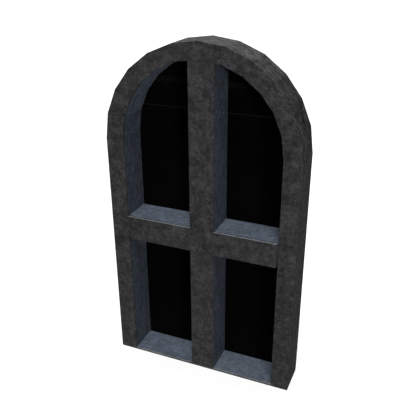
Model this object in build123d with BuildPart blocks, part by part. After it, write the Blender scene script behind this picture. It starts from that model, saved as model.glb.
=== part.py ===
from build123d import *
import os
from math import cos, radians, sin

os.makedirs("parts", exist_ok=True)

# A dark stone window of four lights under a round head cut from straight-sided stones.
# X runs along the wall, Y into it and Z up. The origin is under the middle of the foot.
# Every size is in millimetres.

# The stone surround and the opening that it leaves
overall_width = 1000.0
overall_depth = 179.0
left_jamb_width = 94.5
right_jamb_width = 90.5
outer_spring = 1272.0
inner_spring_rise = 11.0
arch_stone_count = 12

# The thin sill, and the mullion on its mortar bed
sill_thickness = 9.0
left_light_width = 354.0
mullion_width = 128.5
mortar_thickness = 4.5
mortar_setback = 12.5

# The transom, which stops short of the right jamb
transom_level = 728.0
transom_height = 129.5
transom_end_gap = 8.5

# The glass, which stands in a chase a little behind the front
glass_setback = 10.5
glass_thickness = 6.0
glass_lap = 8.0
seam_above_spring = 184.0

# The black panels, let into a rebate in the back
panel_thickness = 3.5
panel_lap = 12.0

# How deep glass and panels stand in the thin sill, and the play at their edges
sill_lap = 3.0
edge_play = 0.3

# Places and levels that follow from the sizes above
outer_radius = overall_width / 2
opening_left = left_jamb_width - outer_radius
opening_right = outer_radius - right_jamb_width
opening_middle = (opening_left + opening_right) / 2
inner_radius = (opening_right - opening_left) / 2
inner_spring = outer_spring + inner_spring_rise
inner_crown = inner_spring + inner_radius
glass_seam = inner_spring + seam_above_spring
mullion_left = opening_left + left_light_width
mullion_right = mullion_left + mullion_width
mullion_foot = sill_thickness + mortar_thickness
transom_top = transom_level + transom_height
transom_end = opening_right - transom_end_gap


def head_corner(joint, radius, spring, middle):
    """The corner of a straight-sided head at one joint, counted from the left."""
    angle = radians(180.0 * (1 - joint / arch_stone_count))
    return (middle + radius * cos(angle), spring + radius * sin(angle))


def outer_corner(joint):
    """The corner of the surround's outline at one joint."""
    return head_corner(joint, outer_radius, outer_spring, 0.0)


def inner_corner(joint):
    """The corner of the opening's outline at one joint."""
    return head_corner(joint, inner_radius, inner_spring, opening_middle)


def upright(setback):
    """The upright plane that lies this far behind the front face."""
    return Plane.XZ.offset(overall_depth / 2 - setback)


def finish(piece, name):
    """Label one piece and write its file."""
    piece.part.label = name
    export_step(piece.part, f"parts/{name}.step")


with BuildSketch() as opening:
    head = [inner_corner(joint) for joint in range(arch_stone_count + 1)]
    Polygon((opening_left, sill_thickness), *head, (opening_right, sill_thickness), align=None)

# The left, right, foot and head of the rectangle that holds each light
lights = {
    "lower_left": (opening_left, mullion_left, sill_thickness, transom_level),
    "lower_right": (mullion_right, opening_right, sill_thickness, transom_level),
    "upper_left": (opening_left, mullion_left, transom_top, inner_crown),
    "upper_right": (mullion_right, opening_right, transom_top, inner_crown),
}


def foot_of_filling(light, lap):
    """The level at which a light's glass or panel stands in the stone below it."""
    foot = lights[light][2]
    if foot == sill_thickness:
        return foot - sill_lap
    return foot - lap


def filling_outline(light, lap, play):
    """A light's outline grown by its lap into the stone, less the play at its edges."""
    left, right, _, head_level = lights[light]
    reach = lap - play
    low = foot_of_filling(light, lap)
    high = head_level + reach
    with BuildSketch() as outline:
        add(opening.sketch)
        offset(amount=reach, kind=Kind.INTERSECTION)
        with Locations(((left + right) / 2, (low + high) / 2)):
            Rectangle(right - left + 2 * reach, high - low, mode=Mode.INTERSECT)
    return outline.sketch


# The cuts that every stone shares: the glass chase behind the front, run up the right
# jamb past the transom's end, and the rebate for the panels in the back
glass_behind = glass_setback + glass_thickness + edge_play
with BuildPart() as glass_chase:
    with BuildSketch(upright(glass_setback)):
        for light in lights:
            add(filling_outline(light, glass_lap, 0.0))
        chase_middle = (transom_level + transom_top) / 2
        with Locations(((transom_end + opening_right + glass_lap) / 2, chase_middle)):
            Rectangle(transom_end_gap + glass_lap, transom_height)
    extrude(amount=glass_setback - glass_behind)

with BuildPart() as panel_rebate:
    with BuildSketch(upright(overall_depth - panel_thickness)):
        for light in lights:
            add(filling_outline(light, panel_lap, 0.0))
    extrude(amount=-panel_thickness)


def make_stone(name, corners):
    """A stone of the given outline, as deep as the wall, with the shared cuts in it."""
    with BuildPart() as stone:
        with BuildSketch(upright(0.0)):
            Polygon(*corners, align=None)
        extrude(amount=-overall_depth)
        add(glass_chase.part, mode=Mode.SUBTRACT)
        add(panel_rebate.part, mode=Mode.SUBTRACT)
    finish(stone, name)


def block_corners(left, right, foot, top):
    """The corners of an upright rectangle."""
    return [(left, foot), (right, foot), (right, top), (left, top)]


def make_jamb(side, outer_edge, opening_edge, outer_top, inner_top):
    """One jamb in three stones, with its upper stone cut to carry the head."""
    left = min(outer_edge, opening_edge)
    right = max(outer_edge, opening_edge)
    make_stone(f"{side}_jamb_lower", block_corners(left, right, 0.0, transom_level))
    make_stone(f"{side}_jamb_middle", block_corners(left, right, transom_level, transom_top))
    foot_corners = [(outer_edge, transom_top), (opening_edge, transom_top)]
    make_stone(f"{side}_jamb_upper", [*foot_corners, inner_top, outer_top])


make_jamb("left", -outer_radius, opening_left, outer_corner(0), inner_corner(0))
last_joint = arch_stone_count
make_jamb("right", outer_radius, opening_right, outer_corner(last_joint), inner_corner(last_joint))

# The head, one straight-sided stone after another from left to right
for number in range(1, arch_stone_count + 1):
    outer_edge = [outer_corner(number - 1), outer_corner(number)]
    inner_edge = [inner_corner(number), inner_corner(number - 1)]
    make_stone(f"arch_stone_{number:02d}", [*outer_edge, *inner_edge])

make_stone("sill", block_corners(opening_left, opening_right, 0.0, sill_thickness))
make_stone("transom", block_corners(opening_left, transom_end, transom_level, transom_top))
make_stone(
    "mullion_lower",
    block_corners(mullion_left, mullion_right, mullion_foot, transom_level),
)

# The upper mullion rises to the head and is cut to its facets
with BuildPart() as mullion_upper:
    with BuildSketch(upright(0.0)):
        add(opening.sketch)
        corners = block_corners(mullion_left, mullion_right, transom_top, inner_crown)
        Polygon(*corners, align=None, mode=Mode.INTERSECT)
    extrude(amount=-overall_depth)
    add(glass_chase.part, mode=Mode.SUBTRACT)
    add(panel_rebate.part, mode=Mode.SUBTRACT)
finish(mullion_upper, "mullion_upper")

# The mortar under the mullion, raked back clear of the glass and the panels
with BuildPart() as mullion_mortar:
    with BuildSketch(Plane.XY.offset(sill_thickness)):
        with Locations(((mullion_left + mullion_right) / 2, 0)):
            Rectangle(mullion_width - 2 * mortar_setback, overall_depth - 2 * mortar_setback)
    extrude(amount=mortar_thickness)
finish(mullion_mortar, "mullion_mortar")


def make_pane(name, light, low, high):
    """The part of a light's glass that lies between two levels."""
    left, right, _, _ = lights[light]
    with BuildPart() as pane:
        with BuildSketch(upright(glass_setback)):
            add(filling_outline(light, glass_lap, edge_play))
            with Locations(((left + right) / 2, (low + high) / 2)):
                Rectangle(overall_width, high - low, mode=Mode.INTERSECT)
        extrude(amount=-glass_thickness)
    finish(pane, name)


top_of_all = inner_crown + glass_lap
for light in ("lower_left", "lower_right"):
    make_pane(f"glass_{light}", light, 0.0, top_of_all)
for light in ("upper_left", "upper_right"):
    make_pane(f"glass_{light}", light, 0.0, glass_seam)
    make_pane(f"glass_{light}_head", light, glass_seam, top_of_all)

# The slip of glass that closes the gap at the transom's end
slip_left = transom_end + edge_play
slip_right = opening_right + glass_lap - edge_play
slip_foot = transom_level + glass_lap - edge_play
slip_top = transom_top - glass_lap - edge_play
with BuildPart() as glass_slip:
    with BuildSketch(upright(glass_setback)):
        Polygon(*block_corners(slip_left, slip_right, slip_foot, slip_top), align=None)
    extrude(amount=-glass_thickness)
finish(glass_slip, "glass_slip")

# The black panels lie flush in the back
for light in lights:
    with BuildPart() as panel:
        with BuildSketch(upright(overall_depth - panel_thickness)):
            add(filling_outline(light, panel_lap, edge_play))
        extrude(amount=-panel_thickness)
    finish(panel, f"back_panel_{light}")
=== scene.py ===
# %% [markdown]
# # A dark stone window under a round head
#
# The window is a surround of dark stone, with a mullion and a transom that make four lights,
# clear blue glass set just behind the face, and black panels in the back. This lesson dresses
# the measured model of it: worn stone, glass that tints what is behind it, and soft daylight.

from math import cos, pi, radians, sin

import bmesh
import bpy
from mathutils import Matrix, Vector, noise
from mathutils.bvhtree import BVHTree


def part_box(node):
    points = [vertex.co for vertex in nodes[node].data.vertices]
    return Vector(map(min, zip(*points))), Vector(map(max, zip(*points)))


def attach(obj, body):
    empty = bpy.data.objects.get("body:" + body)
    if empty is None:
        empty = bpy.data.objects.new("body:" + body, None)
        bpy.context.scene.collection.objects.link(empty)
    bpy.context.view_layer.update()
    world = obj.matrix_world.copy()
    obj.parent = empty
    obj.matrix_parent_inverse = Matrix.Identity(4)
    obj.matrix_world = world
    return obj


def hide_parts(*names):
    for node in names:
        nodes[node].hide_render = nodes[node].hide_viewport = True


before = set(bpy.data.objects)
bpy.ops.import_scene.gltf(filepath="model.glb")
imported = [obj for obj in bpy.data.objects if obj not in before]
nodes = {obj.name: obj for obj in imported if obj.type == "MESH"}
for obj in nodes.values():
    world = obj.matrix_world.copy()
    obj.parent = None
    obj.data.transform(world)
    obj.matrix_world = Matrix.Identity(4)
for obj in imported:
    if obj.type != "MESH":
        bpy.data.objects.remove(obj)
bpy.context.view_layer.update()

# %% [markdown]
# ## Sizes read from the frame
#
# Nothing here is measured twice. The boxes of a few nodes give the face, the back, the levels
# and the width of each light, so the looks follow the model if a size changes.

# %% Places that the later cells share
mm = 0.001
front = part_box("mullion_upper")[0][1]
mullion_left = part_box("mullion_upper")[0][0]
mullion_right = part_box("mullion_upper")[1][0]
sill_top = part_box("sill")[1][2]
glass_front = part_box("glass_lower_left")[0][1]
seam_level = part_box("glass_upper_left")[1][2]
panel_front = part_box("back_panel_lower_left")[0][1]
panel_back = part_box("back_panel_lower_left")[1][1]
opening_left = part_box("left_jamb_lower")[1][0]
opening_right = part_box("right_jamb_lower")[0][0]
opening_middle = (opening_left + opening_right) / 2
opening_half = (opening_right - opening_left) / 2
head_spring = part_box("left_jamb_upper")[1][2]
transom_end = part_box("transom")[1][0]

stone_names = sorted(
    name for name in nodes
    if "arch_stone" in name or "jamb" in name or name in ("sill", "transom")
    or name in ("mullion_lower", "mullion_upper")
)
glass_names = sorted(name for name in nodes if name.startswith("glass"))
panel_names = sorted(name for name in nodes if name.startswith("back_panel"))
print("stones:", len(stone_names), "panes:", len(glass_names), "panels:", len(panel_names))
print("opening:", round(opening_left, 4), round(opening_right, 4), "head from:", round(head_spring, 4))

# %% [markdown]
# ## The camera
#
# The picture is taken from the right and from above. A pinhole camera is described by where it
# stands, where it looks and its focal length. These values come from matching the window's
# corners to the picture, with the principal point in the middle, so there is no shift.

# %% Set the camera
picture_side = 420
focal_pixels = 580.0
sensor_mm = 36.0
view_reach = 400.0
camera_azimuth = radians(22.61)
camera_elevation = radians(25.08)
camera_from_face = Vector((1.0387, -2.3547, 2.1716))

camera_data = bpy.data.cameras.new("camera")
camera_data.sensor_width = sensor_mm
camera_data.lens = sensor_mm * focal_pixels / picture_side
camera_data.clip_end = view_reach
camera = bpy.data.objects.new("camera", camera_data)
camera.location = camera_from_face + Vector((0.0, front, 0.0))
camera.rotation_euler = (pi / 2 - camera_elevation, 0.0, camera_azimuth)
bpy.context.scene.collection.objects.link(camera)
bpy.context.scene.camera = camera
bpy.context.scene.view_settings.view_transform = "Standard"
print("lens:", round(camera_data.lens, 2), "mm")

# %% [markdown]
# ## Light, air and floor
#
# A soft key light comes from high above the camera, so that the shadow falls behind the window. A
# fill from the right, just above the floor, opens the side and the reveals, and a weak, very soft
# light from behind keeps the back readable. The eye sees white air and a pale floor, but what
# they throw back on the stone is less, so dark stone stays dark.

# %% Helpers for node trees
def add_node(tree, kind, **values):
    """Add a node, set its plain properties and return it."""
    node = tree.nodes.new(kind)
    for name, value in values.items():
        setattr(node, name, value)
    return node


def seen_by_eye(tree):
    """A value that is 1 for rays from the camera, in a reflection or through glass."""
    path = add_node(tree, "ShaderNodeLightPath")
    total = path.outputs["Is Camera Ray"]
    for name in ("Is Glossy Ray", "Is Transmission Ray"):
        larger = add_node(tree, "ShaderNodeMath", operation="MAXIMUM")
        tree.links.new(total, larger.inputs[0])
        tree.links.new(path.outputs[name], larger.inputs[1])
        total = larger.outputs["Value"]
    return total


# %% The air
air_light = 0.22
air_white = (1.0, 1.0, 1.0, 1.0)
world = bpy.data.worlds.new("air")
world.use_nodes = True
air = world.node_tree
air.nodes.clear()
air_seen = add_node(air, "ShaderNodeBackground")
air_seen.inputs["Color"].default_value = air_white
air_seen.inputs["Strength"].default_value = 1.0
air_lighting = add_node(air, "ShaderNodeBackground")
air_lighting.inputs["Color"].default_value = air_white
air_lighting.inputs["Strength"].default_value = air_light
air_mix = add_node(air, "ShaderNodeMixShader")
air_out = add_node(air, "ShaderNodeOutputWorld")
air.links.new(seen_by_eye(air), air_mix.inputs["Fac"])
air.links.new(air_lighting.outputs["Background"], air_mix.inputs[1])
air.links.new(air_seen.outputs["Background"], air_mix.inputs[2])
air.links.new(air_mix.outputs["Shader"], air_out.inputs["Surface"])
bpy.context.scene.world = world
print("light of the air:", air_light)


# %% The lamps
def add_sun(name, azimuth, elevation, strength, softness):
    """A distant lamp. Azimuth 0 shines from the front, and 90 from the right."""
    lamp_data = bpy.data.lights.new(name, "SUN")
    lamp_data.energy = strength * pi
    lamp_data.angle = radians(softness)
    lamp = bpy.data.objects.new(name, lamp_data)
    lamp.rotation_euler = (radians(90.0 - elevation), 0.0, radians(azimuth))
    bpy.context.scene.collection.objects.link(lamp)
    print(name, "azimuth:", azimuth, "elevation:", elevation)


add_sun("key_from_above", azimuth=17.0, elevation=71.0, strength=0.815, softness=12.0)
add_sun("fill_from_right", azimuth=40.0, elevation=4.5, strength=0.40, softness=8.0)
add_sun("rim_from_behind", azimuth=-140.0, elevation=45.0, strength=0.30, softness=30.0)

# %% The floor
floor_reach = 150.0
floor_seen = 1.06
floor_bounce = 0.4
floor_mesh = bpy.data.meshes.new("floor")
shape = bmesh.new()
bmesh.ops.create_grid(shape, x_segments=1, y_segments=1, size=floor_reach)
shape.to_mesh(floor_mesh)
shape.free()
floor = bpy.data.objects.new("floor", floor_mesh)
bpy.context.scene.collection.objects.link(floor)

floor_material = bpy.data.materials.new("pale_floor")
floor_material.use_nodes = True
tree = floor_material.node_tree
tree.nodes.clear()
seen = add_node(tree, "ShaderNodeBsdfDiffuse")
seen.inputs["Color"].default_value = (floor_seen, floor_seen, floor_seen, 1.0)
bounced = add_node(tree, "ShaderNodeBsdfDiffuse")
bounced.inputs["Color"].default_value = (floor_bounce, floor_bounce, floor_bounce, 1.0)
floor_mix = add_node(tree, "ShaderNodeMixShader")
floor_out = add_node(tree, "ShaderNodeOutputMaterial")
tree.links.new(seen_by_eye(tree), floor_mix.inputs["Fac"])
tree.links.new(bounced.outputs["BSDF"], floor_mix.inputs[1])
tree.links.new(seen.outputs["BSDF"], floor_mix.inputs[2])
tree.links.new(floor_mix.outputs["Shader"], floor_out.inputs["Surface"])
floor_mesh.materials.append(floor_material)
print("floor reaches:", floor_reach, "m")

# %% [markdown]
# ## Shared effects
#
# Clouding is in every finish here, so it is a node group with named sockets, built once. It is
# the mottling of fine dark stone: patches, blotches, grain and streaks, each a noise of its own
# size, with a slow drift from cool to warm. The streaks are long along the wall and thin through
# it, so they show on the ledges, on the reveals and on top of the head.

# %% Helpers for shader groups
def new_group(name, inputs, outputs):
    """An empty shader group with its sockets, as (tree, input node, output node)."""
    group = bpy.data.node_groups.new(name, "ShaderNodeTree")
    for label, kind, value in inputs:
        socket = group.interface.new_socket(name=label, in_out="INPUT", socket_type=kind)
        if value is not None:
            socket.default_value = value
    for label, kind in outputs:
        group.interface.new_socket(name=label, in_out="OUTPUT", socket_type=kind)
    entry = group.nodes.new("NodeGroupInput")
    leave = group.nodes.new("NodeGroupOutput")
    return group, entry, leave


def noise_field(group, vector, scale, detail, roughness, distortion=0.0):
    """A noise texture. Its scale is a number or a socket to read it from."""
    field = add_node(group, "ShaderNodeTexNoise")
    field.inputs["Detail"].default_value = detail
    field.inputs["Roughness"].default_value = roughness
    field.inputs["Distortion"].default_value = distortion
    group.links.new(vector, field.inputs["Vector"])
    if isinstance(scale, float):
        field.inputs["Scale"].default_value = scale
    else:
        group.links.new(scale, field.inputs["Scale"])
    return field.outputs["Fac"]


def weigh(group, value, weight, rest=None):
    """The value times a weight, plus the rest where there is one."""
    step = add_node(group, "ShaderNodeMath", operation="MULTIPLY_ADD")
    group.links.new(value, step.inputs[0])
    if isinstance(weight, float):
        step.inputs[1].default_value = weight
    else:
        group.links.new(weight, step.inputs[1])
    step.inputs[2].default_value = 0.0
    if rest is not None:
        group.links.new(rest, step.inputs[2])
    return step.outputs["Value"]


def blend_colours(group, factor, first, second):
    """Mix two colour sockets."""
    mix = add_node(group, "ShaderNodeMix", data_type="RGBA")
    group.links.new(factor, mix.inputs["Factor"])
    group.links.new(first, mix.inputs[6])
    group.links.new(second, mix.inputs[7])
    return mix.outputs[2]


def spread(group, value, low, high, least=0.0, most=1.0):
    """Stretch a value so that low becomes the least and high becomes the most."""
    step = add_node(group, "ShaderNodeMapRange")
    step.inputs["From Min"].default_value = low
    step.inputs["From Max"].default_value = high
    step.inputs["To Min"].default_value = least
    step.inputs["To Max"].default_value = most
    group.links.new(value, step.inputs["Value"])
    return step.outputs["Result"]


def place_math(group, operation, vector, other=(0.0, 0.0, 0.0)):
    """A sum on places, such as a shift or a stretch."""
    step = add_node(group, "ShaderNodeVectorMath", operation=operation)
    group.links.new(vector, step.inputs[0])
    step.inputs[1].default_value = other
    return step


# %% Group: clouding
streak_shape = (0.28, 1.0, 0.28)
patch_share = 0.18
streak_share = 0.28
blotch_share = 0.40
warmth_scale = 31.0

clouding, entry, leave = new_group(
    "clouding",
    [
        ("Vector", "NodeSocketVector", None),
        ("Dark", "NodeSocketColor", (0.02, 0.02, 0.02, 1.0)),
        ("Pale", "NodeSocketColor", (0.07, 0.07, 0.07, 1.0)),
        ("Warm", "NodeSocketColor", (0.07, 0.06, 0.055, 1.0)),
        ("Patch Scale", "NodeSocketFloat", 14.0),
        ("Blotch Scale", "NodeSocketFloat", 60.0),
        ("Grain Scale", "NodeSocketFloat", 200.0),
        ("Streak Scale", "NodeSocketFloat", 110.0),
    ],
    [("Color", "NodeSocketColor"), ("Height", "NodeSocketFloat")],
)

# %% The four noises of the clouding
place = entry.outputs["Vector"]
drawn_out = place_math(clouding, "MULTIPLY", place, streak_shape).outputs["Vector"]
patches = noise_field(clouding, place, entry.outputs["Patch Scale"], detail=2.0, roughness=0.5)
blotches = noise_field(
    clouding, place, entry.outputs["Blotch Scale"], detail=3.0, roughness=0.6, distortion=0.6
)
streaks = noise_field(
    clouding, drawn_out, entry.outputs["Streak Scale"], detail=2.0, roughness=0.6, distortion=0.4
)
grain = noise_field(clouding, place, entry.outputs["Grain Scale"], detail=2.0, roughness=0.6)
grain = spread(clouding, grain, 0.0, 1.0, least=-0.5, most=0.5)
grain_share = spread(clouding, patches, 0.40, 0.60, least=0.14, most=0.50)
grain = weigh(clouding, grain, grain_share)

# %% Mix the clouding
mottle_range = (0.31, 0.55)
warmth_range = (0.48, 0.66)

mottle = weigh(clouding, patches, patch_share, weigh(clouding, streaks, streak_share, grain))
mottle = weigh(clouding, blotches, blotch_share, mottle)
mottle = spread(clouding, mottle, *mottle_range)
mottle = weigh(clouding, mottle, spread(clouding, mottle, 0.0, 1.0, least=0.5, most=1.0))
warm_drift = noise_field(clouding, place, warmth_scale, detail=2.0, roughness=0.5)
warmth = spread(clouding, warm_drift, *warmth_range)
pale = blend_colours(clouding, warmth, entry.outputs["Pale"], entry.outputs["Warm"])
tone = blend_colours(clouding, mottle, entry.outputs["Dark"], pale)
clouding.links.new(tone, leave.inputs["Color"])
clouding.links.new(mottle, leave.inputs["Height"])
print("group:", clouding.name, "nodes:", len(clouding.nodes))

# %% [markdown]
# The film is painted light and shade, with a little real dust. Outside, faces that look up are
# painted paler, as painted top light with some dust, and the narrow ledges in front of the glass
# more so. Behind the glass, the upright faces are painted a thin pale blue, and ledges and soffits
# more, as painted light where the recess lies in shade. The transom's end, in its narrow gap, is
# painted a pale lime colour, as painted light in the gap's shade. The steep outer sides of the head
# are painted darker, as painted shade. The masks come from the facing and the place. A stone's own
# mottle makes the film uneven.

# %% Group: painted light and shade
painted_light_and_shade, entry, leave = new_group(
    "painted_light_and_shade",
    [
        ("Vector", "NodeSocketVector", None),
        ("Color", "NodeSocketColor", (0.05, 0.05, 0.05, 1.0)),
        ("Film", "NodeSocketColor", (0.29, 0.30, 0.33, 1.0)),
        ("Dust", "NodeSocketColor", (0.29, 0.28, 0.27, 1.0)),
        ("Lime", "NodeSocketColor", (0.62, 0.64, 0.68, 1.0)),
        ("Mottle", "NodeSocketFloat", 0.5),
        ("Washed", "NodeSocketFloat", 0.2),
        ("Ledge", "NodeSocketFloat", 0.25),
        ("Upright", "NodeSocketFloat", 0.1),
        ("Sheltered", "NodeSocketFloat", 0.4),
        ("Rain", "NodeSocketFloat", 0.36),
    ],
    [("Color", "NodeSocketColor"), ("Mask", "NodeSocketFloat")],
)


# %% Tell the opening from the outside
film_thins = 20.0 * mm
film_stops = 30.0 * mm


def choose(group, factor, first, second):
    """The first value where the factor is 0, and the second where it is 1."""
    mix = add_node(group, "ShaderNodeMix", data_type="FLOAT")
    group.links.new(factor, mix.inputs["Factor"])
    group.links.new(first, mix.inputs["A"])
    group.links.new(second, mix.inputs["B"])
    return mix.outputs["Result"]


def split(group, vector):
    """The three numbers of a place or a direction."""
    parts = add_node(group, "ShaderNodeSeparateXYZ")
    group.links.new(vector, parts.inputs["Vector"])
    return parts.outputs


def in_opening(group, vector):
    """1 inside the opening and on its edges, and 0 outside the surround."""
    from_middle = (opening_middle, 0.0, head_spring)
    shifted = split(group, place_math(group, "SUBTRACT", vector, from_middle).outputs["Vector"])
    above = add_node(group, "ShaderNodeMath", operation="MAXIMUM")
    group.links.new(shifted["Z"], above.inputs[0])
    above.inputs[1].default_value = 0.0
    flat = add_node(group, "ShaderNodeCombineXYZ")
    group.links.new(shifted["X"], flat.inputs["X"])
    group.links.new(above.outputs["Value"], flat.inputs["Z"])
    reach = place_math(group, "LENGTH", flat.outputs["Vector"]).outputs["Value"]
    return spread(group, reach, opening_half + film_stops, opening_half + film_thins)


# %% Film outside: painted top light with some dust, and painted shade on the steep sides
upward = (0.6, 1.0)
steep_from = (0.04, 0.22)
steep_until = (0.72, 0.40)

surface = add_node(painted_light_and_shade, "ShaderNodeNewGeometry")
facing = split(painted_light_and_shade, surface.outputs["Normal"])
within = in_opening(painted_light_and_shade, entry.outputs["Vector"])
# Painted top light with some dust: faces that look up are painted paler, the ledges in front of the
# glass more so
looks_up = spread(painted_light_and_shade, facing["Z"], *upward)
looks_up = weigh(painted_light_and_shade, looks_up, looks_up)
# Painted shade: the steep outer sides of the head are painted darker, less where the mottle is pale
steep = spread(painted_light_and_shade, facing["Z"], *steep_from)
steep = weigh(painted_light_and_shade, steep, spread(painted_light_and_shade, facing["Z"], *steep_until))
outdoors = spread(painted_light_and_shade, within, 1.0, 0.0)
rain = weigh(painted_light_and_shade, steep, weigh(painted_light_and_shade, outdoors, entry.outputs["Rain"]))
side_shade_by_mottle = spread(painted_light_and_shade, entry.outputs["Mottle"], 0.0, 0.7, least=2.2, most=0.0)
rain = weigh(painted_light_and_shade, rain, side_shade_by_mottle)
very_uneven = spread(painted_light_and_shade, entry.outputs["Mottle"], 0.0, 0.8, least=-0.6, most=3.1)
uneven = spread(painted_light_and_shade, entry.outputs["Mottle"], 0.0, 0.8, least=0.7, most=1.4)
patchy = choose(painted_light_and_shade, looks_up, very_uneven, uneven)
washed = weigh(painted_light_and_shade, entry.outputs["Washed"], patchy)
ledge = weigh(painted_light_and_shade, entry.outputs["Ledge"], uneven)
outside = weigh(painted_light_and_shade, looks_up, choose(painted_light_and_shade, within, washed, ledge))

# %% Film inside, behind the glass: painted light in the recess and the gap
film_edge = 1.0 * mm
flat_range = (0.0, 0.75)
gap_range = (transom_end - 1.5 * mm, transom_end - 0.5 * mm)
faces_gap = (0.3, 0.6)

# Painted light in the recess: upright faces behind the glass get a pale blue film, ledges and soffits
# more
level = add_node(painted_light_and_shade, "ShaderNodeMath", operation="ABSOLUTE")
painted_light_and_shade.links.new(facing["Z"], level.inputs[0])
lies_flat = spread(painted_light_and_shade, level.outputs["Value"], *flat_range)
inside = weigh(painted_light_and_shade, lies_flat, entry.outputs["Sheltered"], entry.outputs["Upright"])
at = split(painted_light_and_shade, entry.outputs["Vector"])
behind_glass = spread(painted_light_and_shade, at["Y"], glass_front, glass_front + film_edge)
before_panel = spread(painted_light_and_shade, at["Y"], panel_front + film_edge, panel_front - film_edge)
enclosed = weigh(painted_light_and_shade, behind_glass, weigh(painted_light_and_shade, before_panel, within))
# Painted light: the transom's end in its narrow gap is painted a pale lime colour
in_gap = spread(painted_light_and_shade, at["X"], *gap_range)
in_gap = weigh(painted_light_and_shade, in_gap, spread(painted_light_and_shade, facing["X"], *faces_gap))
inside = weigh(painted_light_and_shade, in_gap, 1.0, weigh(painted_light_and_shade, inside, uneven))

# %% Mix the film with the stone
# The near black that the painted shade mixes into the steep sides
side_shade_dark_black = (0.002, 0.002, 0.002, 1.0)
amount = choose(painted_light_and_shade, enclosed, outside, inside)
side_shade_dark = add_node(painted_light_and_shade, "ShaderNodeRGB")
side_shade_dark.outputs["Color"].default_value = side_shade_dark_black
side_shaded = blend_colours(painted_light_and_shade, rain, entry.outputs["Color"], side_shade_dark.outputs["Color"])
film_colour = blend_colours(painted_light_and_shade, outdoors, entry.outputs["Film"], entry.outputs["Dust"])
film_colour = blend_colours(painted_light_and_shade, in_gap, film_colour, entry.outputs["Lime"])
filmed = blend_colours(painted_light_and_shade, amount, side_shaded, film_colour)
painted_light_and_shade.links.new(filmed, leave.inputs["Color"])
painted_light_and_shade.links.new(amount, leave.inputs["Mask"])
print("group:", painted_light_and_shade.name, "nodes:", len(painted_light_and_shade.nodes))

# %% [markdown]
# ## The stone's finish
#
# The stone is nearly black, with small blotches, some a little warm, and a matt surface that
# hardly shines. Its noise reads Object coordinates, so the pattern has one size on every stone
# and runs on across the joints, as it does in blocks from one bed.

# %% Helpers for finishes
def place_group(tree, group, **values):
    """Place a shared effect in a material and set its own values."""
    node = add_node(tree, "ShaderNodeGroup")
    node.node_tree = group
    for name, value in values.items():
        node.inputs[name.replace("_", " ").title()].default_value = value
    return node


def new_finish(name):
    """A material with its tree, its shader and Object coordinates, ready to be dressed."""
    material = bpy.data.materials.new(name)
    material.use_nodes = True
    tree = material.node_tree
    place = add_node(tree, "ShaderNodeTexCoord")
    return material, tree, tree.nodes["Principled BSDF"], place.outputs["Object"]


def add_bump(tree, shader, height, strength, distance):
    """Let a height bend the light on a surface, too finely to be modelled."""
    bump = add_node(tree, "ShaderNodeBump")
    bump.inputs["Strength"].default_value = strength
    bump.inputs["Distance"].default_value = distance
    tree.links.new(height, bump.inputs["Height"])
    tree.links.new(bump.outputs["Normal"], shader.inputs["Normal"])


# %% Make the stone finish
dark_stone, tree, shader, place = new_finish("dark_stone")
shader.inputs["Specular IOR Level"].default_value = 0.003
clouds = place_group(
    tree, clouding,
    dark=(0.0197, 0.0194, 0.0205, 1.0),
    pale=(0.0645, 0.0634, 0.0664, 1.0),
    warm=(0.0690, 0.0644, 0.0650, 1.0),
    patch_scale=14.0, blotch_scale=54.0, grain_scale=170.0, streak_scale=75.0,
)
tree.links.new(place, clouds.inputs["Vector"])
# The film group paints light and shade into the stone's colour: paler tops and ledges, a pale recess
# and gap behind the glass, darker steep sides
film = place_group(
    tree, painted_light_and_shade,
    film=(0.287, 0.304, 0.336, 1.0), dust=(0.292, 0.285, 0.289, 1.0), lime=(0.62, 0.64, 0.68, 1.0),
    washed=0.185, ledge=0.46, upright=0.152, sheltered=0.252, rain=0.34,
)
tree.links.new(place, film.inputs["Vector"])
tree.links.new(clouds.outputs["Color"], film.inputs["Color"])
tree.links.new(clouds.outputs["Height"], film.inputs["Mottle"])
tree.links.new(film.outputs["Color"], shader.inputs["Base Color"])
dullness = spread(tree, film.outputs["Mask"], 0.0, 0.4, least=0.82, most=0.96)
tree.links.new(dullness, shader.inputs["Roughness"])
add_bump(tree, shader, clouds.outputs["Height"], strength=0.2, distance=0.6 * mm)
print("finish:", dark_stone.name)

# %% [markdown]
# ## The shape of worn stone
#
# A sawn block is never a perfect box: its free arrises are rounded, its faces wander by nearly
# half a millimetre, and its joints show as very fine hair lines. Each stone starts as a merged
# copy of its solid. Arrises and joints are told apart by looking just outside a face for a
# neighbour.

# %% Look for neighbours
look_out = 0.45 * mm
merge_reach = 0.01 * mm
flat_angle = radians(0.5)


def merged_copy(name):
    """A bmesh of a node with its doubles merged and its flat sides as whole faces."""
    body = bmesh.new()
    body.from_mesh(nodes[name].data)
    bmesh.ops.remove_doubles(body, verts=body.verts, dist=merge_reach)
    bmesh.ops.dissolve_limit(body, angle_limit=flat_angle, verts=body.verts, edges=body.edges)
    return body


solids = {}
for name in nodes:
    body = merged_copy(name)
    low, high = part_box(name)
    solids[name] = (BVHTree.FromBMesh(body), low, high)
    body.free()


def neighbour_at(point, own_name):
    """The other node that holds this point, if there is one."""
    for name, (tree, low, high) in solids.items():
        if name == own_name:
            continue
        if any(not low[i] <= point[i] <= high[i] for i in range(3)):
            continue
        nearest, normal, _, _ = tree.find_nearest(point)
        if (point - nearest).dot(normal) < 0.0:
            return name
    return None


# %% Sort the arrises of a stone
arris_angle = radians(12.0)


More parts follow.
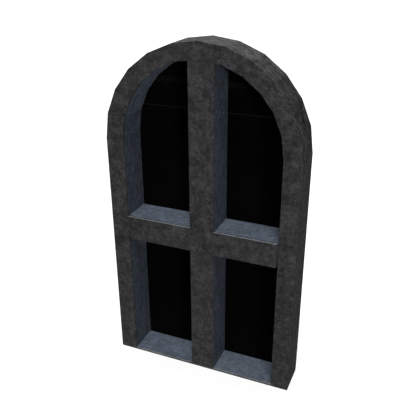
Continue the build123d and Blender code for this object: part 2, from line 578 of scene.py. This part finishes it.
def sort_arrises(body, own_name):
    """The free arrises of a stone, and the edges along its joints with other stones."""
    free_arrises = []
    joint_edges = []
    for edge in body.edges:
        pair = edge.link_faces
        if not edge.is_convex or pair[0].normal.angle(pair[1].normal) < arris_angle:
            continue
        middle = (edge.verts[0].co + edge.verts[1].co) / 2
        along = (edge.verts[1].co - edge.verts[0].co).normalized()
        met = []
        for face in pair:
            inward = face.normal.cross(along)
            if (face.calc_center_median() - middle).dot(inward) < 0.0:
                inward.negate()
            met.append(neighbour_at(middle + inward * mm + face.normal * look_out, own_name))
        if met == [None, None]:
            free_arrises.append(edge)
        elif None in met and (met[0] or met[1]) in stone_names:
            joint_edges.append(edge)
    return free_arrises, joint_edges


# %% [markdown]
# The faces are cut into small cells along the stone's own three directions, so that each corner
# of a cell can be moved. The stones of the head are turned, so their directions turn with them.

# %% Cut a stone into cells
cell = 6.0 * mm
cut_reach = 0.005 * mm
sliver = 0.02 * mm
arch_stone_count = sum("arch_stone" in name for name in stone_names)


def cut(body, place, direction):
    """Cut the whole mesh with a plane and keep both sides."""
    everything = body.verts[:] + body.edges[:] + body.faces[:]
    bmesh.ops.bisect_plane(
        body, geom=everything, dist=cut_reach, plane_co=place, plane_no=direction
    )


def directions_of(name):
    """The three directions along which a stone is cut."""
    across = Vector((1.0, 0.0, 0.0))
    if "arch_stone" in name:
        number = int(name.split("_")[-1])
        turn = pi * (1.0 - (number - 0.5) / arch_stone_count)
        across = Vector((cos(turn), 0.0, sin(turn)))
    along = Vector((-across.z, 0.0, across.x))
    return (across, along, Vector((0.0, 1.0, 0.0)))


def cut_into_cells(body, name, size):
    """Cut a stone by evenly spaced planes in each of its directions."""
    for direction in directions_of(name):
        reach = [vert.co.dot(direction) for vert in body.verts]
        low = min(reach)
        length = max(reach) - low
        steps = max(1, round(length / size))
        for step in range(1, steps):
            cut(body, direction * (low + length * step / steps), direction)
    bmesh.ops.dissolve_degenerate(body, dist=sliver, edges=body.edges)


# %% [markdown]
# Wear always takes stone away, so every point moves inwards: a slow wander over the faces, a
# finer one on top, and small nicks where a noise peaks along the free arrises. A point on a
# joint moves only within the joint's plane, so that the joints stay closed.

# %% Wear a stone
wander_depth = 0.25 * mm
wander_size = 55.0 * mm
tooling_depth = 0.18 * mm
tooling_size = 15.0 * mm
nick_depth = 1.1 * mm
nick_size = 17.0 * mm
nick_from = 0.25
nick_shift = Vector((7.0, 3.0, 5.0))
bed_reach = 0.1 * mm
bend_of_arris = radians(20.0)


def wear_at(point, on_arris):
    """How far the surface has worn back at a point."""
    wander = 0.5 + 0.5 * noise.noise(point / wander_size)
    tooling = 0.5 + 0.5 * noise.noise(point / tooling_size)
    depth = wander_depth * wander + tooling_depth * tooling
    if on_arris:
        nick = noise.noise(point / nick_size + nick_shift)
        depth += nick_depth * max(0.0, nick - nick_from)
    return depth


def wear(body, name, roughness=1.0):
    """Move the points of the open faces inwards."""
    body.normal_update()
    moves = []
    closed = {}
    for face in body.faces:
        centre = face.calc_center_median()
        on_bed = centre.z < bed_reach and face.normal.z < -0.99
        closed[face] = on_bed or neighbour_at(centre + face.normal * look_out, name) is not None
    for vert in body.verts:
        open_normals = [
            face.normal for face in vert.link_faces
            if not closed[face] and face.normal.length > 0.5
        ]
        if not open_normals:
            continue
        inward = Vector((0.0, 0.0, 0.0))
        for normal in open_normals:
            inward -= normal
        flattest = min(normal.dot(open_normals[0]) for normal in open_normals)
        for face in vert.link_faces:
            if closed[face]:
                inward -= face.normal * inward.dot(face.normal)
        if inward.length < 0.1:
            continue
        inward.normalize()
        if any(inward.dot(normal) > 0.0 for normal in open_normals):
            continue
        depth = wear_at(vert.co, flattest < cos(bend_of_arris))
        moves.append((vert, inward * depth * roughness))
    for vert, move in moves:
        vert.co += move
    return len(moves)


# %% Dress every stone
arris_radius = 0.9 * mm
hair_joint = 0.15 * mm
sharp_from = radians(34.0)


def finish_piece(piece_name, body, material):
    """Make an object of a bmesh, give it its finish and let it ride on the root."""
    mesh = bpy.data.meshes.new(piece_name)
    body.to_mesh(mesh)
    body.free()
    mesh.shade_smooth()
    mesh.set_sharp_from_angle(angle=sharp_from)
    piece = bpy.data.objects.new(piece_name, mesh)
    bpy.context.scene.collection.objects.link(piece)
    mesh.materials.append(material)
    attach(piece, "root")
    return piece


total_faces = 0
for name in stone_names:
    body = merged_copy(name)
    # An edge that a neighbour ends on is cut there, so that it is either free or in a joint
    for side_of_mullion in (mullion_left, mullion_right):
        cut(body, (side_of_mullion, 0.0, 0.0), (1.0, 0.0, 0.0))
    cut(body, (0.0, 0.0, sill_top), (0.0, 0.0, 1.0))
    free_arrises, _ = sort_arrises(body, name)
    bmesh.ops.bevel(
        body, geom=free_arrises, offset=arris_radius, segments=2, profile=0.5,
        affect="EDGES", material=-1, clamp_overlap=True,
    )
    body.normal_update()
    _, joint_edges = sort_arrises(body, name)
    bmesh.ops.bevel(
        body, geom=joint_edges, offset=hair_joint, segments=1, profile=0.5,
        affect="EDGES", material=-1, clamp_overlap=True,
    )
    cut_into_cells(body, name, cell)
    moved = wear(body, name)
    total_faces += len(body.faces)
    print(name, "faces:", len(body.faces), "worn points:", moved)
    stone = finish_piece(f"worn_{name}", body, dark_stone)
    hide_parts(name)
print("faces in all stones:", total_faces)

# %% [markdown]
# ## The mortar under the mullion
#
# The mullion stands on a thin bed of lime mortar, raked back from its edges. It is paler and much
# rougher than the stone, so it gets finer cells and deeper wear, and a finish of its own.

# %% Make the mortar
mortar_cell = 3.0 * mm
mortar_roughness = 4.0
lime_mortar, tree, shader, place = new_finish("lime_mortar")
shader.inputs["Specular IOR Level"].default_value = 0.1
sand = place_group(
    tree, clouding,
    dark=(0.150, 0.142, 0.130, 1.0),
    pale=(0.340, 0.330, 0.310, 1.0),
    warm=(0.330, 0.300, 0.255, 1.0),
    patch_scale=40.0, blotch_scale=150.0, grain_scale=600.0, streak_scale=300.0,
)
tree.links.new(place, sand.inputs["Vector"])
tree.links.new(sand.outputs["Color"], shader.inputs["Base Color"])
dullness = spread(tree, sand.outputs["Height"], 0.0, 1.0, least=0.98, most=0.85)
tree.links.new(dullness, shader.inputs["Roughness"])
add_bump(tree, shader, sand.outputs["Height"], strength=0.6, distance=0.8 * mm)

body = merged_copy("mullion_mortar")
cut_into_cells(body, "mullion_mortar", mortar_cell)
moved = wear(body, "mullion_mortar", mortar_roughness)
print("mortar faces:", len(body.faces), "worn points:", moved)
mortar = finish_piece("rough_mortar", body, lime_mortar)
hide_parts("mullion_mortar")

# %% [markdown]
# ## The glass
#
# The panes pass red least and blue most. They show hardly any reflection, so their index is
# close to that of air. A Mix Shader lets the lamps' rays straight through, so the reveals behind
# the glass are lit as the face is, and the eye's rays meet the real glass.

# %% Make the glass finish
clear_blue_glass, tree, shader, place = new_finish("clear_blue_glass")
shader.inputs["Transmission Weight"].default_value = 1.0
shader.inputs["Roughness"].default_value = 0.0
shader.inputs["IOR"].default_value = 1.02
shader.inputs["Specular Tint"].default_value = (0.0, 0.0, 0.0, 1.0)
drift = place_group(
    tree, clouding,
    dark=(0.566, 0.663, 0.782, 1.0),
    pale=(0.597, 0.692, 0.804, 1.0),
    warm=(0.602, 0.689, 0.797, 1.0),
    patch_scale=3.0, blotch_scale=7.0, grain_scale=13.0, streak_scale=9.0,
)
tree.links.new(place, drift.inputs["Vector"])
tree.links.new(drift.outputs["Color"], shader.inputs["Base Color"])
add_bump(tree, shader, drift.outputs["Height"], strength=0.1, distance=0.5 * mm)

# %% Let the lamps' rays through the glass
path = add_node(tree, "ShaderNodeLightPath")
light_rays = add_node(tree, "ShaderNodeMath", operation="MAXIMUM")
tree.links.new(path.outputs["Is Shadow Ray"], light_rays.inputs[0])
tree.links.new(path.outputs["Is Diffuse Ray"], light_rays.inputs[1])
clear = add_node(tree, "ShaderNodeBsdfTransparent")
glass_mix = add_node(tree, "ShaderNodeMixShader")
tree.links.new(light_rays.outputs["Value"], glass_mix.inputs["Fac"])
tree.links.new(shader.outputs["BSDF"], glass_mix.inputs[1])
tree.links.new(clear.outputs["BSDF"], glass_mix.inputs[2])
tree.links.new(glass_mix.outputs["Shader"], tree.nodes["Material Output"].inputs["Surface"])


def give_finish(names, material):
    """Give one finish to the nodes that keep the shape of their solids."""
    for name in names:
        nodes[name].data.materials.clear()
        nodes[name].data.materials.append(material)
    print(material.name, "on pieces:", len(names))


give_finish(glass_names, clear_blue_glass)

# %% [markdown]
# ## The dabs on the seam
#
# Each upper light is glazed with two panes that meet edge to edge. A row of small blue-grey dabs
# of sealant holds the seam from the front. A dab is a flattened sphere that just dips into the
# glass, each a little different in size. They are joined in one mesh for each light. The first
# few dabs beside the stone on the left are painted a brighter blue, a painted highlight, so they
# get a second finish.

# %% Make the sealant
def make_sealant(name, dark, pale, warm):
    """Cured sealant in its own three colours."""
    material, tree, shader, place = new_finish(name)
    shader.inputs["Specular IOR Level"].default_value = 0.1
    cured = place_group(
        tree, clouding, dark=dark, pale=pale, warm=warm,
        patch_scale=60.0, blotch_scale=300.0, grain_scale=900.0, streak_scale=400.0,
    )
    gloss = spread(tree, cured.outputs["Height"], 0.0, 1.0, 0.7, 0.5)
    tree.links.new(place, cured.inputs["Vector"])
    tree.links.new(cured.outputs["Color"], shader.inputs["Base Color"])
    tree.links.new(gloss, shader.inputs["Roughness"])
    return material


sealant = make_sealant(
    "sealant",
    dark=(0.023, 0.053, 0.073, 1.0), pale=(0.034, 0.071, 0.099, 1.0), warm=(0.034, 0.068, 0.092, 1.0),
)
# The first dabs on the left are painted brighter: a painted highlight
painted_highlight_sealant = make_sealant(
    "painted_highlight_sealant",
    dark=(0.110, 0.260, 0.370, 1.0), pale=(0.150, 0.340, 0.490, 1.0), warm=(0.150, 0.330, 0.460, 1.0),
)
print("finishes:", sealant.name, painted_highlight_sealant.name)

# %% Set the dabs along the seam
dab_pitch = 17.0 * mm
dab_radius = 1.6 * mm
dab_rise = 0.7 * mm
dab_middle = 0.9 * dab_rise
dab_margin = 1.5 * dab_radius
size_swing = 0.25
size_drift = 7.0 * mm
highlight_dabs = 4


def clear_of_stone(x):
    """Whether a dab at this place along the seam lies on open glass."""
    for reach in (-dab_margin, dab_margin):
        if neighbour_at(Vector((x + reach, glass_front - dab_rise, seam_level)), "") is not None:
            return False
    return True


def add_dab(body, x, finish_number):
    """Add one dab at its place along the seam, in its own finish."""
    size = 1.0 + size_swing * noise.noise(Vector((x / size_drift, 0.0, 0.0)))
    lift = Vector((x, glass_front - dab_middle, seam_level))
    flatten = Matrix.Diagonal((size, dab_rise / dab_radius, size, 1.0))
    dab = bmesh.ops.create_icosphere(
        body, subdivisions=2, radius=dab_radius, matrix=Matrix.Translation(lift) @ flatten
    )
    for vert in dab["verts"]:
        for face in vert.link_faces:
            face.material_index = finish_number


for side in ("left", "right"):
    pane_low, pane_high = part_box(f"glass_upper_{side}")
    body = bmesh.new()
    steps = int((pane_high[0] - pane_low[0]) / dab_pitch)
    count = 0
    for step in range(1, steps + 1):
        x = pane_low[0] + step * dab_pitch
        if clear_of_stone(x):
            add_dab(body, x, int(count < highlight_dabs))
            count += 1
    row = finish_piece(f"seam_dabs_{side}", body, sealant)
    row.data.materials.append(painted_highlight_sealant)
    print("dabs on the", side, "seam:", count)

# %% [markdown]
# ## The black panels
#
# Inside the window the panels are a near black, painted darker than their outer side as painted
# shade in the deep opening; outside they are a very dark grey. One material does both, by how deep
# the point lies. Across each upper panel a level band is painted a little less black: a painted
# reflection.

# %% Make the two blacks
black_panel, tree, shader, place = new_finish("black_panel")
shader.inputs["Specular IOR Level"].default_value = 0.0
# Painted shade: the inner side is a near black, darker than the outer side
painted_shade_black = place_group(
    tree, clouding,
    dark=(0.0034, 0.0030, 0.0026, 1.0),
    pale=(0.0038, 0.0033, 0.0029, 1.0),
    warm=(0.0039, 0.0033, 0.0028, 1.0),
    patch_scale=5.0, blotch_scale=20.0, grain_scale=90.0, streak_scale=40.0,
)
weathered = place_group(
    tree, clouding,
    dark=(0.0120, 0.0120, 0.0125, 1.0),
    pale=(0.0300, 0.0295, 0.0300, 1.0),
    warm=(0.0330, 0.0300, 0.0280, 1.0),
    patch_scale=7.0, blotch_scale=30.0, grain_scale=240.0, streak_scale=60.0,
)
tree.links.new(place, painted_shade_black.inputs["Vector"])
tree.links.new(place, weathered.inputs["Vector"])
panel_place = split(tree, place)
looks_out = spread(tree, panel_place["Y"], panel_front + 1.0 * mm, panel_back - 1.0 * mm)

# %% Paint the band of painted reflection and mix the blacks
# Painted reflection: a level band across each upper panel is painted a little less black
painted_reflection_black = (0.0092, 0.0083, 0.0070, 1.0)
band_low = 1.5385
band_high = 1.5690
band_end = 0.1885
edge_blur = 0.5 * mm
above_low = spread(tree, panel_place["Z"], band_low - edge_blur, band_low + edge_blur)
below_high = spread(tree, panel_place["Z"], band_high + edge_blur, band_high - edge_blur)
before_end = spread(tree, panel_place["X"], band_end + edge_blur, band_end - edge_blur)
band = weigh(tree, before_end, weigh(tree, above_low, below_high))
painted_reflection = add_node(tree, "ShaderNodeRGB")
painted_reflection.outputs["Color"].default_value = painted_reflection_black
inner_black = blend_colours(tree, band, painted_shade_black.outputs["Color"], painted_reflection.outputs["Color"])
black = blend_colours(tree, looks_out, inner_black, weathered.outputs["Color"])
tree.links.new(black, shader.inputs["Base Color"])
dullness = spread(tree, weathered.outputs["Height"], 0.0, 1.0, least=0.92, most=0.74)
tree.links.new(dullness, shader.inputs["Roughness"])
add_bump(tree, shader, weathered.outputs["Height"], strength=0.3, distance=0.6 * mm)
give_finish(panel_names, black_panel)
